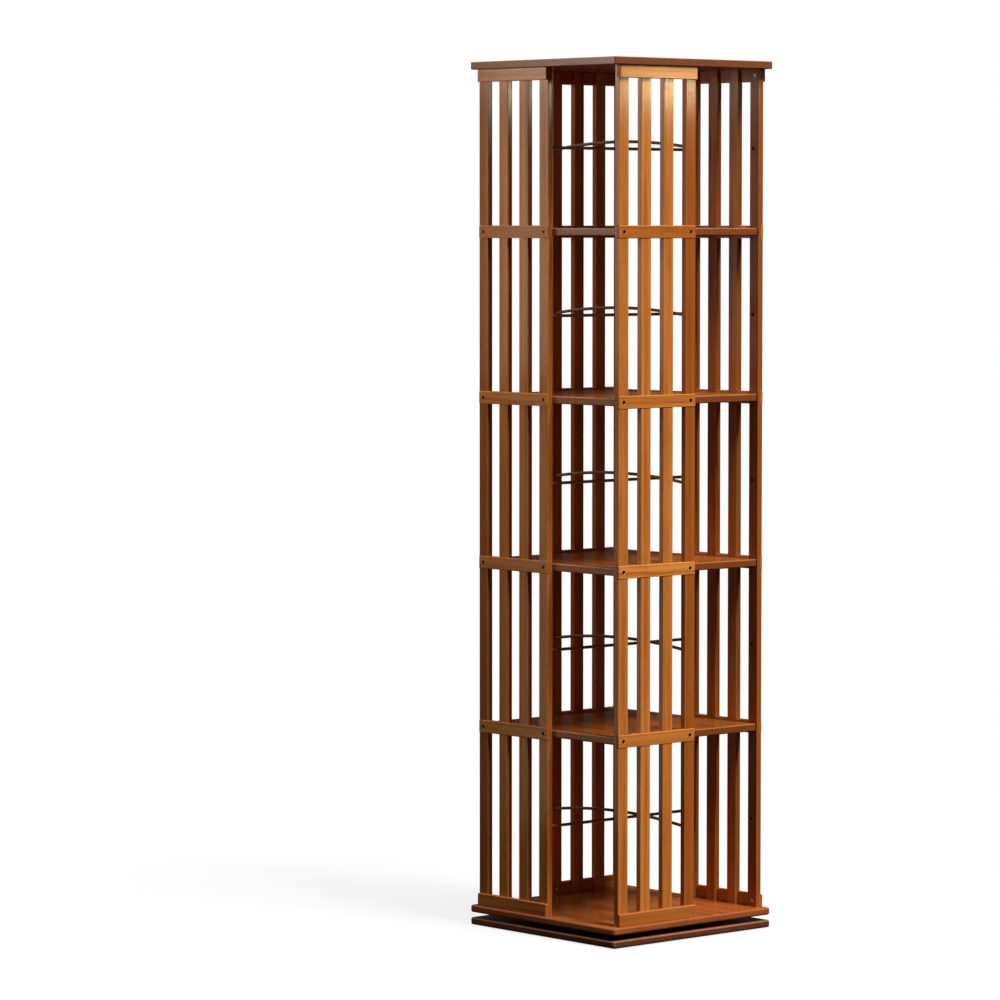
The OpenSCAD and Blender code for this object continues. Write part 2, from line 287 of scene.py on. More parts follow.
# %% Sizes of the wooden pieces
SIDES = ("front", "right", "back", "left")
QUARTER = math.pi / 2
slat_low, slat_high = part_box("front_slat_1")
rail_low, rail_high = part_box("front_rail_1")
foot_rail_low, foot_rail_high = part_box("front_bottom_rail")
head_rail_low, head_rail_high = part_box("front_top_rail")
top_low, top_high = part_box("top_board")
bottom_low, bottom_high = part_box("bottom_shelf")
base_low, base_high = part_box("base_board")
shelf_low, shelf_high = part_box("shelf_1")

slat_count = sum(name.startswith("front_slat_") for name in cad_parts)
rail_count = sum(name.startswith("front_rail_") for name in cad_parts)
slat_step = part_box("front_slat_2")[0].x - slat_low.x
tier_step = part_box("front_rail_2")[0].z - rail_low.z
slat_width = slat_high.x - slat_low.x
rail_height = rail_high.z - rail_low.z
slat_middle = (slat_low.x + slat_high.x) / 2
rail_middle = (rail_low.z + rail_high.z) / 2
last_slat_middle = slat_middle + (slat_count - 1) * slat_step
print("slats:", slat_count, "to a panel; width and spacing", in_mm(slat_width, slat_step), "mm")
print("rails:", rail_count, "to a panel; height and spacing", in_mm(rail_height, tier_step), "mm")

# %% [markdown]
# ## Workshop helpers
#
# Wood is sawn, eased and drilled. A bar is a box whose edges are bevelled. A board with a rolled edge is a
# stack of rounded outlines. Whatever is round comes off a lathe. A drilled or notched piece is cut with a
# Boolean, which keeps crisp edges. After each cut the modifier's result becomes the piece's own mesh.

# %% Bars
EASE_STEPS = 3
WELD = 0.001 * MM


def box_between(low, high):
    """A plain box between two corners."""
    shape = bmesh.new()
    bmesh.ops.create_cube(shape, size=1.0)
    bmesh.ops.scale(shape, vec=Vector(high) - Vector(low), verts=shape.verts)
    bmesh.ops.translate(shape, vec=(Vector(low) + Vector(high)) / 2, verts=shape.verts)
    return shape


def eased_bar(low, high, radius, along, ends=False):
    """A planed bar: the edges along one axis are rounded, and those of its ends too where they show."""
    shape = box_between(low, high)
    edges = [edge for edge in shape.edges
             if ends or abs(edge.verts[0].co[along] - edge.verts[1].co[along]) > WELD]
    bmesh.ops.bevel(shape, geom=edges, offset=radius, segments=EASE_STEPS, profile=0.5, affect="EDGES")
    return shape


# %% Turned shapes
def loft(shape, rings, closed=False):
    """Faces between neighbouring rings of vertices; a ring of one vertex closes the shape to a point."""
    pairs = list(zip(rings, rings[1:]))
    if closed:
        pairs.append((rings[-1], rings[0]))
    for lower, upper in pairs:
        count = max(len(lower), len(upper))
        for i in range(count):
            j = (i + 1) % count
            corners = [lower[i % len(lower)], lower[j % len(lower)],
                       upper[j % len(upper)], upper[i % len(upper)]]
            shape.faces.new(list(dict.fromkeys(corners)))


def turned(profile, steps, closed=False):
    """A lathe shape about the Z axis from (radius, height) pairs; a radius of 0 is a point on the axis."""
    shape = bmesh.new()
    rings = []
    for radius, height in profile:
        angles = [2 * math.pi * i / steps for i in range(steps if radius > 0 else 1)]
        rings.append([shape.verts.new((radius * math.cos(a), radius * math.sin(a), height)) for a in angles])
    loft(shape, rings, closed)
    return shape


def placed(shape, matrix):
    """The same shape, moved or turned."""
    bmesh.ops.transform(shape, matrix=matrix, verts=shape.verts)
    return shape


# %% Boards
ROLL_STEPS = 6
CORNER_STEPS = 6
CORNERS = ((1, 1), (-1, 1), (-1, -1), (1, -1))


def rolled_board(low, high, corner_radius, edge_radius):
    """A square board: a stack of rounded outlines that draw in where the long edges are rolled."""
    shape = bmesh.new()
    middle = (low + high) / 2
    half = (high - low) / 2
    turns = [step * QUARTER / ROLL_STEPS for step in range(ROLL_STEPS + 1)]
    levels = [(edge_radius * (1 - math.sin(turn)), low.z + edge_radius * (1 - math.cos(turn)))
              for turn in turns]
    levels += [(inset, low.z + high.z - height) for inset, height in reversed(levels)]
    rings = []
    for inset, height in levels:
        radius = max(corner_radius - inset, 2 * WELD)
        ring = []
        for corner, (to_x, to_y) in enumerate(CORNERS):
            reach_x = (half.x - inset - radius) * to_x
            reach_y = (half.y - inset - radius) * to_y
            for step in range(CORNER_STEPS + 1):
                angle = QUARTER * corner + step * QUARTER / CORNER_STEPS
                x = middle.x + reach_x + radius * math.cos(angle)
                y = middle.y + reach_y + radius * math.sin(angle)
                ring.append(shape.verts.new((x, y, height)))
        rings.append(ring)
    loft(shape, rings)
    shape.faces.new(list(reversed(rings[0])))
    shape.faces.new(rings[-1])
    return shape


# %% Making, settling and cutting pieces
def as_piece(name, *shapes):
    """One object at the origin from one shape or several, welded, with its faces pointing outwards."""
    mesh = bpy.data.meshes.new(name)
    whole = bmesh.new()
    for shape in shapes:
        shape.to_mesh(mesh)
        shape.free()
        whole.from_mesh(mesh)
    bmesh.ops.remove_doubles(whole, verts=whole.verts, dist=WELD)
    bmesh.ops.recalc_face_normals(whole, faces=whole.faces)
    whole.to_mesh(mesh)
    whole.free()
    return into_scene(name, mesh)


def settle(piece):
    """Makes the evaluated shape the piece's own plain mesh and removes the modifiers."""
    graph = bpy.context.evaluated_depsgraph_get()
    source = piece.evaluated_get(graph)
    made = bpy.data.meshes.new_from_object(source, preserve_all_data_layers=True, depsgraph=graph)
    piece.modifiers.clear()
    piece.data = made
    made.name = piece.name
    return piece


def cut(piece, *shapes):
    """Takes shapes that don't touch each other out of a piece."""
    cutter = as_piece("cutter", *shapes)
    boolean = piece.modifiers.new("cut", "BOOLEAN")
    boolean.operation = "DIFFERENCE"
    boolean.solver = "EXACT"
    boolean.object = cutter
    settle(piece)
    bpy.data.objects.remove(cutter)
    return piece


print("workshop ready: bars, boards, turned shapes and cuts")

# %% [markdown]
# ## Marks that the finish follows
#
# Bamboo board is glued up from strips, and its fibres all run one way. So every wooden piece carries its
# own grain coordinate: across the strips, through the thickness, and along the fibres, in metres. Two more
# marks say where an edge is rounded and where the end grain shows, which drinks more stain. A rounded
# edge gets a colour of its own: paler, for lacquer worn thin there and as a painted highlight, and on the
# bottom shelf darker, as painted shade. The marks are stored as attributes, so they travel with the mesh
# into every copy.

# %% Grain, worn edges and end grain
X, Y, Z = range(3)
SMOOTH_BELOW = math.radians(38)
WEAR_AND_LIGHT_EDGE_SHARE = 0.7  # of the edge's radius
END_FACING = 0.7  # how squarely an end face looks along the fibres
FLAT_FACE_PULL = 100


def store(mesh, name, kind, domain, key, values):
    """Writes a list of numbers into a new attribute of the mesh."""
    mesh.attributes.new(name, kind, domain)
    mesh.attributes[name].data.foreach_set(key, values)


def shade_smooth(piece):
    """Smooth shading, with an edge left sharp where its faces meet steeply."""
    for face in piece.data.polygons:
        face.use_smooth = True
    piece.data.set_sharp_from_angle(angle=SMOOTH_BELOW)
    return piece


def mark_wood(piece, across, along, radius):
    """Stores the grain coordinate, the rounded edges (for wear and painted light) and the end grain."""
    mesh = piece.data
    through = ({X, Y, Z} - {across, along}).pop()
    low = [min(v.co[axis] for v in mesh.vertices) for axis in (X, Y, Z)]
    high = [max(v.co[axis] for v in mesh.vertices) for axis in (X, Y, Z)]
    grain = []
    wear_and_light_edges = []
    for vertex in mesh.vertices:
        grain += [vertex.co[across], vertex.co[through], vertex.co[along]]
        depths = [min(vertex.co[axis] - low[axis], high[axis] - vertex.co[axis]) for axis in (X, Y, Z)]
        wear_and_light_edges.append(float(sum(WELD < depth < WEAR_AND_LIGHT_EDGE_SHARE * radius for depth in depths) >= 2))
    ends = [float(abs(face.normal[along]) > END_FACING) for face in mesh.polygons]
    store(mesh, "grain", "FLOAT_VECTOR", "POINT", "vector", grain)
    store(mesh, "edge_wear_and_light", "FLOAT", "POINT", "value", wear_and_light_edges)
    store(mesh, "end_grain", "FLOAT", "FACE", "value", ends)
    return shade_smooth(piece)


def round_off(piece):
    """Keeps the large flat faces flat in the shading, right up to the rounded edges."""
    weights = piece.modifiers.new("flat_faces", "WEIGHTED_NORMAL")
    weights.keep_sharp = True
    weights.weight = FLAT_FACE_PULL
    return settle(piece)


# %% [markdown]
# ## One tree that sets out every repeated piece
#
# Slats stand in rows, rails lie at every tier, screws sit two to a rail, and all of it turns a quarter at a
# time onto the next face. One Geometry Nodes tree does this for any sample piece: it makes a row of points,
# repeats the row upwards, and turns the lot round the axis. The point's number alone says which place,
# level and turn it stands for. Array modifiers could make the rows too, but here each copy also gets a
# number of its own from a fixed seed, for its shade of stain. On a few copies at the front that shade is
# painted light.


# %% How every tree starts and ends
def tree_with(name, inputs):
    """A new Geometry Nodes tree with a geometry input and output, and the sockets of its named inputs."""
    tree = bpy.data.node_groups.new(name, "GeometryNodeTree")
    for label, kind in {"Sample": "Geometry", **inputs}.items():
        tree.interface.new_socket(label, in_out="INPUT", socket_type="NodeSocket" + kind)
    tree.interface.new_socket("Pieces", in_out="OUTPUT", socket_type="NodeSocketGeometry")
    return tree, add_node(tree, "NodeGroupInput").outputs


def deal_out(tree, sample, points, angle, seed, finish):
    """Ends a tree: a turned copy on each point, with its own shade, made real and given its finish."""
    facing = wire(tree, "FunctionNodeAxisAngleToRotation", {"Axis": (0, 0, 1), "Angle": angle})
    copies = wire(tree, "GeometryNodeInstanceOnPoints",
                  {"Points": points, "Instance": sample, "Rotation": facing})
    shade = add_node(tree, "FunctionNodeRandomValue", {"Seed": seed}, data_type="FLOAT").outputs["Value"]
    shaded = wire(tree, "GeometryNodeStoreNamedAttribute",
                  {"Geometry": copies, "Name": "piece_tone", "Value": shade},
                  domain="INSTANCE", data_type="FLOAT")
    real = wire(tree, "GeometryNodeRealizeInstances", {"Geometry": shaded})
    done = wire(tree, "GeometryNodeSetMaterial", {"Geometry": real, "Material": finish})
    add_node(tree, "NodeGroupOutput", {"Pieces": done})
    return tree


# %% The setting-out tree
TREE_INPUTS = {
    "Across Count": "Int", "Across Step": "Vector", "Up Count": "Int", "Up Step": "Vector",
    "Turn Count": "Int", "First Turn": "Float", "Seed": "Int", "Finish": "Material",
}


def setting_out_tree():
    """Copies the sample across, up and round the upright axis."""
    tree, given = tree_with("setting_out", TREE_INPUTS)
    number = wire(tree, "GeometryNodeInputIndex")
    row = calc(tree, "MULTIPLY", given["Across Count"], given["Up Count"])
    place = calc(tree, "MODULO", number, given["Across Count"])
    rows_done = calc(tree, "FLOOR", calc(tree, "DIVIDE", number, given["Across Count"]))
    level = calc(tree, "MODULO", rows_done, given["Up Count"])
    turn = calc(tree, "FLOOR", calc(tree, "DIVIDE", number, row))
    one_turn = calc(tree, "DIVIDE", 2 * math.pi, given["Turn Count"])
    angle = calc(tree, "ADD", given["First Turn"], calc(tree, "MULTIPLY", turn, one_turn))
    aside = wire(tree, "ShaderNodeVectorMath", {0: given["Across Step"], "Scale": place}, operation="SCALE")
    above = wire(tree, "ShaderNodeVectorMath", {0: given["Up Step"], "Scale": level}, operation="SCALE")
    moved = wire(tree, "ShaderNodeVectorMath", {0: aside, 1: above}, operation="ADD")
    swung = wire(tree, "ShaderNodeVectorRotate", {"Vector": moved, "Angle": angle}, rotation_type="Z_AXIS")
    total = calc(tree, "MULTIPLY", row, given["Turn Count"])
    points = wire(tree, "GeometryNodePoints", {"Count": total, "Position": swung})
    return deal_out(tree, given["Sample"], points, angle, given["Seed"], given["Finish"])


# %% Running a tree on a sample
def grow(piece, tree, values):
    """Runs a tree on a piece: inputs are set by their identifiers, and the result becomes the mesh."""
    nodes = piece.modifiers.new(tree.name, "NODES")
    nodes.node_group = tree
    sockets = {item.name: item.identifier for item in tree.interface.items_tree
               if item.in_out == "INPUT"}
    for label, value in values.items():
        nodes[sockets[label]] = value
    return settle(piece)


setting_out = setting_out_tree()
ONCE = (1, (0, 0, 0))


def set_out(piece, finish, across=ONCE, up=ONCE, turns=1, first_turn=0.0, seed=0):
    """Copies a sample piece to all its places and gives it its finish."""
    grow(piece, setting_out, {
        "Across Count": across[0], "Across Step": across[1], "Up Count": up[0], "Up Step": up[1],
        "Turn Count": turns, "First Turn": first_turn, "Seed": seed, "Finish": finish,
    })
    return round_off(piece)


print("tree:", setting_out.name, "with inputs", list(TREE_INPUTS))

# %% [markdown]
# ## Stained and lacquered bamboo
#
# Close up, the wood shows fine fibres a fraction of a millimetre wide, broader streaks of stain, strips of
# slightly different shade with a hairline of glue between them, and the faint cross bands where the cane
# had its joints. Over it lies a satin lacquer, warm in its reflections. All of it is worked out from the
# grain coordinate, so the figure follows each piece, and the copy's own number shifts it so that no two
# match.


# %% Helpers for patterns
def streaks(tree, grain, shift, width, length, detail):
    """Noise drawn out along the grain into streaks of about that width and length."""
    stretched = wire(tree, "ShaderNodeVectorMath", {0: grain, 1: (1 / width, 1 / width, 1 / length)},
                     operation="MULTIPLY")
    return wire(tree, "ShaderNodeTexNoise",
                {"Vector": stretched, "W": shift, "Scale": 1.0, "Detail": detail}, noise_dimensions="4D")


def fade(tree, value, near, far):
    """1 where a value is under near, falling smoothly to 0 at far."""
    return wire(tree, "ShaderNodeMapRange",
                {"Value": value, "From Min": near, "From Max": far, "To Min": 1.0, "To Max": 0.0},
                interpolation_type="SMOOTHSTEP")


def mark(tree, name, output="Fac"):
    """One of the marks stored on the mesh."""
    return add_node(tree, "ShaderNodeAttribute", attribute_name=name).outputs[output]


def vector(tree, x=0.0, y=0.0, z=0.0):
    """Three numbers as one vector."""
    return wire(tree, "ShaderNodeCombineXYZ", {0: x, 1: y, 2: z})


def weighted(tree, weights, *values):
    """The sum of several values, each times its weight."""
    first, *others = [calc(tree, "MULTIPLY", value, weight) for value, weight in zip(values, weights)]
    for other in others:
        first = calc(tree, "ADD", first, other)
    return first


def uneven(tree, level, pattern, amount):
    """A level that a pattern raises and lowers a little."""
    return calc(tree, "ADD", level, calc(tree, "MULTIPLY", calc(tree, "SUBTRACT", pattern, 0.5), amount))


def from_joint(tree, count, size):
    """How far it is to the nearest joint, where a joint lies at every whole count."""
    return calc(tree, "MULTIPLY", calc(tree, "PINGPONG", count, 0.5), size)


# %% Helpers for colours and relief
def ramp(tree, value, places, colours):
    """A colour ramp with those colours at those places."""
    node = add_node(tree, "ShaderNodeValToRGB", {0: value})
    while len(node.color_ramp.elements) < len(places):
        node.color_ramp.elements.new(0.5)
    for element, place, colour in zip(node.color_ramp.elements, places, colours):
        element.position = place
        element.color = (*colour, 1.0)
    return node.outputs[0]


def mix_colour(tree, share, first, second):
    """Blends from the first colour to the second; a Mix node keeps its colours in sockets 6 and 7."""
    return add_node(tree, "ShaderNodeMix", {0: share, 6: first, 7: second}, data_type="RGBA").outputs[2]


def dress(tree, colour, roughness, height, depth):
    """Links colour, roughness and relief to the material's shader, and hands the shader back."""
    shader = tree.nodes["Principled BSDF"]
    bump = wire(tree, "ShaderNodeBump", {"Height": height, "Distance": depth, "Strength": 1.0})
    for name, socket in (("Base Color", colour), ("Roughness", roughness), ("Normal", bump)):
        tree.links.new(socket, shader.inputs[name])
    return shader


# %% Bamboo finish
FIBRE = (0.6 * MM, 45 * MM, 3.0)  # width, length and detail, as in the next two
STREAK = (5 * MM, 260 * MM, 2.0)
CLOUD = (30 * MM, 120 * MM, 2.0)
COPY_SHIFT = 40.0
GLUE_LINE = 0.25 * MM
KNUCKLE_GAP = 235 * MM
KNUCKLE_SCATTER = 7.0
KNUCKLE_RAGGED = 3 * MM
KNUCKLE_BAND = (1.2 * MM, 3.5 * MM)
FIGURE_SHARES = (0.35, 0.30, 0.20, 0.11)  # of fibres, streaks, clouds and the shade of the strip
STAIN_PLACES = (0.32, 0.50, 0.70)
KNUCKLE_DARK = 0.35
GLUE_DARK = 0.22
# how much of the edge colour goes on rounded edges: worn lacquer and a painted highlight
WEAR_AND_LIGHT_EDGE_MIX = 0.7
SATIN_UNEVEN = 0.16
END_DULL = 0.35
RELIEF_SHARES = (0.02, 0.05, -0.08)  # of fibres, knuckles and glue lines, in millimetres
LACQUER_SHINE = 0.5
LACQUER_TINT = (1.0, 0.90, 0.72, 1.0)


def stained_bamboo(name, dark, mid, pale, strip=7 * MM, ply=5 * MM, roughness=0.20, end_share=0.5,
                   spread=0.4, wear_and_light_edges=None):
    """Satin lacquer over strips; end_share darkens end grain, and spread says how far copies differ."""
    material, tree = new_finish(name)
    grain = mark(tree, "grain", "Vector")
    tone = mark(tree, "piece_tone")
    end = mark(tree, "end_grain")
    shift = calc(tree, "MULTIPLY", tone, COPY_SHIFT)
    fibres, streak, cloud = [streaks(tree, grain, shift, *kind) for kind in (FIBRE, STREAK, CLOUD)]

    across, through, along = add_node(tree, "ShaderNodeSeparateXYZ", {0: grain}).outputs
    row = calc(tree, "ADD", calc(tree, "DIVIDE", across, strip), shift)
    layer = calc(tree, "DIVIDE", through, ply)
    cell = vector(tree, calc(tree, "FLOOR", row), calc(tree, "FLOOR", layer), shift)
    strip_shade = add_node(tree, "ShaderNodeTexWhiteNoise", {"Vector": cell}).outputs["Value"]
    from_glue = calc(tree, "MINIMUM", from_joint(tree, row, strip), from_joint(tree, layer, ply))
    glue = fade(tree, from_glue, 0.0, GLUE_LINE)

    knuckle_count = calc(tree, "ADD", calc(tree, "DIVIDE", along, KNUCKLE_GAP),
                         calc(tree, "MULTIPLY", strip_shade, KNUCKLE_SCATTER))
    ragged = calc(tree, "MULTIPLY", fibres, KNUCKLE_RAGGED)
    from_knuckle = calc(tree, "ADD", from_joint(tree, knuckle_count, KNUCKLE_GAP), ragged)
    knuckle = fade(tree, from_knuckle, *KNUCKLE_BAND)

    figure = weighted(tree, FIGURE_SHARES, fibres, streak, cloud, strip_shade)
    colour = ramp(tree, figure, STAIN_PLACES, (dark, mid, pale))
    deeper = calc(tree, "SUBTRACT", 1.0, tone)
    for pattern, share in ((deeper, spread), (knuckle, KNUCKLE_DARK), (glue, GLUE_DARK), (end, end_share)):
        colour = mix_colour(tree, calc(tree, "MULTIPLY", pattern, share), colour, (*dark, 1))
    # Rounded edges take the edge colour, the pale one unless another is given: worn lacquer and a painted
    # highlight; where that colour is dark, painted shade.
    wear_and_light_share = calc(tree, "MULTIPLY", mark(tree, "edge_wear_and_light"), calc(tree, "MULTIPLY", cloud, WEAR_AND_LIGHT_EDGE_MIX))
    colour = mix_colour(tree, wear_and_light_share, colour, (*(wear_and_light_edges or pale), 1))

    satin = calc(tree, "ADD", uneven(tree, roughness, streak, SATIN_UNEVEN),
                 calc(tree, "MULTIPLY", end, END_DULL))
    relief = weighted(tree, RELIEF_SHARES, fibres, knuckle, glue)
    lacquer = dress(tree, colour, satin, relief, MM)
    lacquer.inputs["Specular IOR Level"].default_value = LACQUER_SHINE
    lacquer.inputs["Specular Tint"].default_value = LACQUER_TINT
    return material


# %% The woods of this bookcase
BOARD_LAY = {"strip": 19 * MM, "ply": 4 * MM}
slat_wood = stained_bamboo(
    "slat_bamboo", (0.25, 0.050, 0.005), (0.53, 0.168, 0.028), (0.64, 0.27, 0.065), roughness=0.16,
    spread=0.85)
rail_wood = stained_bamboo(
    "rail_bamboo", (0.24, 0.047, 0.005), (0.62, 0.205, 0.035), (0.73, 0.31, 0.08), spread=0.6)
top_wood = stained_bamboo(
    "top_bamboo", (0.11, 0.022, 0.003), (0.29, 0.072, 0.009), (0.40, 0.125, 0.022), **BOARD_LAY,
    roughness=0.28, end_share=0.6)
# The bottom shelf's colours are lifted above its stain's, as painted light on its front and back edges, while
# a higher end_share keeps the end-grain edges dark. Its rounded edges take its dark colour: painted shade
# along the rolled edges.
low_shelf_wood = stained_bamboo(
    "low_shelf_bamboo", (0.18, 0.040, 0.006), (0.42, 0.102, 0.017), (0.55, 0.17, 0.036), **BOARD_LAY,
    end_share=0.50, wear_and_light_edges=(0.18, 0.040, 0.006))
# The base's colours are lifted above its stain's, as painted light on its front and back edges, while a
# higher end_share keeps the end-grain edges dark. Its rounded edges take a pale pinkish colour: worn lacquer
# and a painted highlight.
base_wood = stained_bamboo(
    "base_bamboo", (0.07, 0.016, 0.005), (0.195, 0.045, 0.012), (0.36, 0.11, 0.038), **BOARD_LAY,
    end_share=0.69, wear_and_light_edges=(0.42, 0.20, 0.13))
shelf_wood = stained_bamboo(
    "shelf_bamboo", (0.16, 0.032, 0.003), (0.34, 0.090, 0.009), (0.46, 0.16, 0.03), **BOARD_LAY,
    end_share=0.85)
rod_wood = stained_bamboo(
    "rod_bamboo", (0.11, 0.045, 0.017), (0.25, 0.115, 0.048), (0.36, 0.18, 0.08), roughness=0.42)
print("finishes:", [material.name for material in bpy.data.materials])

# %% [markdown]
# ## Screws
#
# Rails are screwed to the shelves with small countersunk screws, blackened so that they sink into the
# stain. The pointed body is a stack of rings, and where the thread runs, each ring's radius follows the
# turn angle, which draws a helix. A Screw modifier could wind a thread as well, but it leaves the ends
# open, and this body is closed from head to point. A cross is cut into the head for the driver. Holes
# follow the same sizes plus a little play.

# %% Screw sizes and holes
HEAD_RADIUS = 3 * MM
SHANK_RADIUS = 1.5 * MM
HEAD_DEPTH = HEAD_RADIUS - SHANK_RADIUS
SCREW_PLAY = 0.1 * MM
HOLE_STEPS = 32
PAST = 1 * MM


def bore(radius, low, high):
    """A plain round bore about the Z axis."""
    return turned([(0, low), (radius, low), (radius, high), (0, high)], HOLE_STEPS)


def screw_hole(length):
    """What a drill and a countersink leave: open at the origin's face, running along +Z."""
    head, shank, foot = HEAD_RADIUS + SCREW_PLAY, SHANK_RADIUS + SCREW_PLAY, length + SCREW_PLAY
    return turned([(0, -PAST), (head, -PAST), (head, SCREW_PLAY), (shank, HEAD_DEPTH + SCREW_PLAY),
                   (shank, foot), (0, foot)], HOLE_STEPS)


def holes(places, length):
    """Screw holes at many places."""
    return [placed(screw_hole(length), place) for place in places]


def driven(place, axis):
    """Where a screw sits: its head at a place, driven along an axis."""
    return Matrix.Translation(place) @ Vector(axis).to_track_quat("Z", "Y").to_matrix().to_4x4()


print("screws: heads and shanks", in_mm(2 * HEAD_RADIUS, 2 * SHANK_RADIUS), "mm across")

# %% Thread and driver's cross
CORE_RADIUS = 1.05 * MM
HEAD_SINK = 0.3 * MM
TIP = 2 * SHANK_RADIUS
THREAD_PITCH = 1.6 * MM
THREAD_SLOPE = 2.5
CROSS_REACH = 1.75 * MM
CROSS_FOOT = 0.9 * MM
CROSS_HALF = 0.42 * MM
CROSS_DEPTH = 1.5 * MM


def threaded(shape, length):
    """Pushes the shank's rings in and out so that a ridge winds down it."""
    start, stop = HEAD_DEPTH + THREAD_PITCH, length - TIP
    for vertex in shape.verts:
        if start < vertex.co.z < stop:
            winding = vertex.co.z / THREAD_PITCH - math.atan2(vertex.co.y, vertex.co.x) / (2 * math.pi)
            ridge = max(0.0, 1 - THREAD_SLOPE * abs(winding % 1 - 0.5))
            radius = CORE_RADIUS + (SHANK_RADIUS - CORE_RADIUS) * ridge
            vertex.co.xy = vertex.co.xy.normalized() * radius
    return shape


def cross_outline(reach):
    """Twelve corners of a plus sign."""
    arm = [(reach, -CROSS_HALF), (reach, CROSS_HALF), (CROSS_HALF, CROSS_HALF)]
    return [Matrix.Rotation(QUARTER * turn, 2) @ Vector(point) for turn in range(4) for point in arm]


def driver_cross():
    """The tapering cross that a driver fits, cut down from the head."""
    shape = bmesh.new()
    ends = ((HEAD_SINK - PAST, CROSS_REACH), (HEAD_SINK, CROSS_REACH), (HEAD_SINK + CROSS_DEPTH, CROSS_FOOT))
    rings = [[shape.verts.new((*point, height)) for point in cross_outline(reach)] for height, reach in ends]
    loft(shape, rings)
    shape.faces.new(rings[0])
    shape.faces.new(rings[-1])
    return shape


# %% The whole screw
THREAD_RINGS = 5
ROUND_STEPS = 20


def wood_screw(name, length, matrix):
    """A countersunk cross-head screw with its head at the matrix's origin, driven along its +Z."""
    thread_length = length - TIP - HEAD_DEPTH
    count = max(2, round(THREAD_RINGS * thread_length / THREAD_PITCH))
    shank = [(SHANK_RADIUS, HEAD_DEPTH + i * thread_length / count) for i in range(count + 1)]
    head = [(0, HEAD_SINK), (HEAD_RADIUS - HEAD_SINK, HEAD_SINK)]
    body = turned([*head, *shank, (0, length)], ROUND_STEPS)
    screw = cut(as_piece(name, threaded(body, length)), driver_cross())
    screw.data.transform(matrix)
    return shade_smooth(screw)


# %% [markdown]
# The screws on the outside are blackened, dark and satin. The rest, inside the tower and in the bearing,
# are zinc plated. Both are metal, so their colour sits in the reflection, broken up by fine, slightly
# brighter spots. Noise draws these, because a picture would have to be laid out on every small screw.

# %% Metal finishes
SPOT_PLACES = (0.35, 0.65)


def speckled(name, colour, spot_colour, roughness, spot_size, metallic=1.0, detail=4.0, shine_range=0.3,
             depth=0.01 * MM):
    """Metal, or something dull where metallic is 0, with small spots, an uneven shine and a fine relief."""
    material, tree = new_finish(name)
    place = add_node(tree, "ShaderNodeTexCoord").outputs["Object"]
    spots = wire(tree, "ShaderNodeTexNoise", {"Vector": place, "Scale": 1 / spot_size, "Detail": detail})
    colours = ramp(tree, spots, SPOT_PLACES, (colour, spot_colour))
    surface = dress(tree, colours, uneven(tree, roughness, spots, shine_range), spots, depth)
    surface.inputs["Metallic"].default_value = metallic
    return material


black_steel = speckled("black_screw_steel", (0.022, 0.018, 0.016), (0.06, 0.05, 0.045), 0.42, 0.6 * MM)
zinc_steel = speckled("zinc_screw_steel", (0.55, 0.55, 0.52), (0.72, 0.71, 0.68), 0.30, 0.5 * MM)
print("metals:", black_steel.name, zinc_steel.name)

# %% [markdown]
# ## The slatted panels
#
# A slat is a planed bar with a notch sawn across its face at every tier, where a rail lies in it. The two
# end slats of a panel also take screws, and blind sockets for the rods on their inner face. So there are
# two samples, an end slat and a plain one. The tree sets both out along the panel, and they become one
# piece.

# %% Lengths and places of the screws, and rod heights
LAP_DEPTH = 5 * MM
RAIL_BITE = 25 * MM
BACK_BITE = 6 * MM
BOARD_BITE = 14 * MM
rail_screw_length = slat_high.y - rail_low.y + RAIL_BITE
back_screw_length = slat_high.y - slat_low.y - LAP_DEPTH + BACK_BITE
board_screw_length = top_high.z - top_low.z + BOARD_BITE
foot_rail_middle = (foot_rail_low.z + foot_rail_high.z) / 2
head_rail_middle = (head_rail_low.z + head_rail_high.z) / 2
end_rail_depth = (foot_rail_low.y + foot_rail_high.y) / 2
end_slat_xs = (slat_middle, last_slat_middle)
board_screw_xs = (slat_middle + slat_step / 2, last_slat_middle - slat_step / 2)


def rail_screw_at(x, height):
    """Through a shelf rail and an end slat, into a shelf."""
    return driven((x, rail_low.y, height), (0, 1, 0))


def back_screw_at(x, height):
    """From behind through an end slat, into a head or foot rail."""
    return driven((x, slat_high.y, height), (0, -1, 0))


def board_screw_at(x, face, way):
    """Through a board, down or up into a head or foot rail."""
    return driven((x, end_rail_depth, face), (0, 0, way))


tier_floors = [bottom_high.z] + [shelf_high.z + i * tier_step for i in range(rail_count)]
tier_ceilings = [shelf_low.z + i * tier_step for i in range(rail_count)] + [top_low.z]
rod_heights = [(low + high) / 2 for low, high in zip(tier_floors, tier_ceilings)]
rail_levels = [rail_middle + i * tier_step for i in range(rail_count)]
print("rods at", in_mm(*rod_heights), "mm")

# %% Slat samples
EDGE_EASE = 1 * MM
LAP_PLAY = 0.1 * MM
ROD_RADIUS = 2.5 * MM
ROD_PLAY = 0.5 * MM
SOCKET_DEPTH = 5 * MM
socket_x = slat_middle - last_slat_middle  # on the last slat this lies in line with the turning axis


def slat_notches():
    """Boxes that saw the rails' places out of a slat's face."""
    notch_back = slat_low.y + LAP_DEPTH
    reach = rail_height / 2 + LAP_PLAY
    spans = [(level - reach, level + reach) for level in rail_levels]
    spans.append((slat_low.z - PAST, foot_rail_high.z + LAP_PLAY))
    spans.append((head_rail_low.z - LAP_PLAY, slat_high.z + PAST))
    return [box_between((slat_low.x - PAST, slat_low.y - PAST, low), (slat_high.x + PAST, notch_back, high))
            for low, high in spans]


